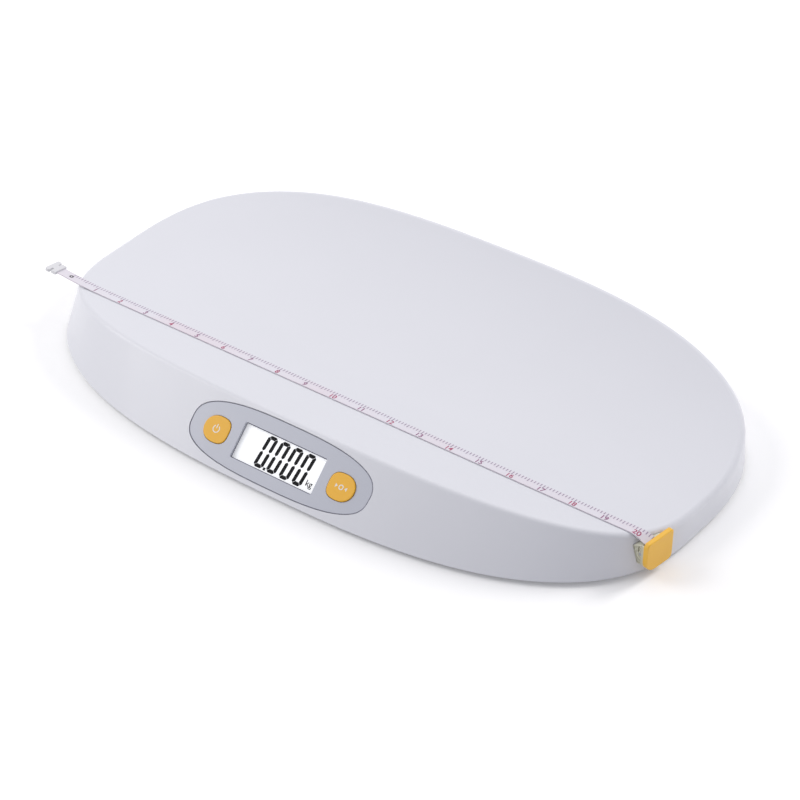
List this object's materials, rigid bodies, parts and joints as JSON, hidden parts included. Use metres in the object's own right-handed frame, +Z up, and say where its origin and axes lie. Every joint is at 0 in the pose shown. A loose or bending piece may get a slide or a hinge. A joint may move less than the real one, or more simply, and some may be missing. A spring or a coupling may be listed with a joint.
{
  "type": "baby weighing scale",
  "caption": "Low electronic baby scale: long oval trough tray, sloping front with display and buttons, load-cell feet, battery door and a pull-out measuring tape at one end.",
  "frame": {"origin": "on the table plane, under the middle of the whole length, pulled-out tape included", "axes": "+X along the tray towards the tape case, -Y towards the display, +Z up"},
  "size_m": [0.5499, 0.3126, 0.0476],
  "materials": {
    "tray_white": "glossy moulded",
    "pan_white": "fine texture",
    "steel": "plain",
    "bezel_grey": "satin",
    "clear_window": "polished",
    "display_glass": "flat",
    "backlight": "diffuse",
    "board_green": "solder mask",
    "board_parts": "plain",
    "battery_wrap": "printed sleeve",
    "contact_metal": "plated",
    "case_ivory": "translucent",
    "case_yellow": "glossy moulded",
    "tape_film": "printed film",
    "grip_white": "moulded",
    "button_orange": "satin",
    "switch_black": "plain",
    "foot_grey": "fine texture",
    "pad_rubber": "matt",
    "cell_steel": "rolled",
    "cap_plastic": "plain"
  },
  "bodies": {
    "scale": {"tray_cover": "tray_white", "base_pan": "pan_white", "case_screws": "steel", "panel_bezel": "bezel_grey", "display_window": "clear_window", "display_glass": "display_glass", "backlight_panel": "backlight", "main_board": "board_green", "board_parts": "board_parts", "board_screws": "steel", "batteries": "battery_wrap", "battery_contacts": "contact_metal", "battery_springs": "contact_metal", "tape_case": "case_ivory", "tape_cover": "case_yellow", "tape_spring": "steel", "tape_axle": "steel", "tape_strip": "tape_film", "tape_grip": "grip_white", "switch_left": "switch_black", "switch_right": "switch_black", "load_cell_front_left": "cell_steel", "cell_cap_front_left": "cap_plastic", "load_cell_front_right": "cell_steel", "cell_cap_front_right": "cap_plastic", "load_cell_back_left": "cell_steel", "cell_cap_back_left": "cap_plastic", "load_cell_back_right": "cell_steel", "cell_cap_back_right": "cap_plastic"},
    "left_button": {"button_left": "button_orange", "switch_plunger_left": "switch_black"},
    "right_button": {"button_right": "button_orange", "switch_plunger_right": "switch_black"},
    "door": {"battery_door": "pan_white"},
    "spool": {"tape_spool": "case_ivory", "tape_coil": "tape_film"},
    "foot_front_left": {"foot_cup_front_left": "foot_grey", "foot_pad_front_left": "pad_rubber"},
    "foot_front_right": {"foot_cup_front_right": "foot_grey", "foot_pad_front_right": "pad_rubber"},
    "foot_back_left": {"foot_cup_back_left": "foot_grey", "foot_pad_back_left": "pad_rubber"},
    "foot_back_right": {"foot_cup_back_right": "foot_grey", "foot_pad_back_right": "pad_rubber"}
  },
  "joints": [
    {"name": "left_button_press", "type": "slide", "parent": "scale", "child": "left_button", "axis": [0, 0.6769, -0.7361], "range_m": [0, 0.0008], "stiffness_N_per_m": 3000, "springref_m": -0.0002},
    {"name": "right_button_press", "type": "slide", "parent": "scale", "child": "right_button", "axis": [0, 0.6769, -0.7361], "range_m": [0, 0.0008], "stiffness_N_per_m": 3000, "springref_m": -0.0002},
    {"name": "foot_drop_front_left", "type": "slide", "parent": "scale", "child": "foot_front_left", "axis": [0, 0, -1], "range_m": [0, 0.0006]},
    {"name": "foot_drop_front_right", "type": "slide", "parent": "scale", "child": "foot_front_right", "axis": [0, 0, -1], "range_m": [0, 0.0006]},
    {"name": "foot_drop_back_left", "type": "slide", "parent": "scale", "child": "foot_back_left", "axis": [0, 0, -1], "range_m": [0, 0.0006]},
    {"name": "foot_drop_back_right", "type": "slide", "parent": "scale", "child": "foot_back_right", "axis": [0, 0, -1], "range_m": [0, 0.0006]},
    {"name": "battery_door_swing", "type": "hinge", "parent": "scale", "child": "door", "pos_m": [0.00615, 0.022, 0.0055], "axis": [-1, 0, 0], "range_deg": [0, 60]},
    {"name": "tape_spool_turn", "type": "hinge", "parent": "scale", "child": "spool", "pos_m": [0.26336, -0.0609, 0.0178], "axis": [0.165, 0.9863, 0], "continuous": true}
  ]
}
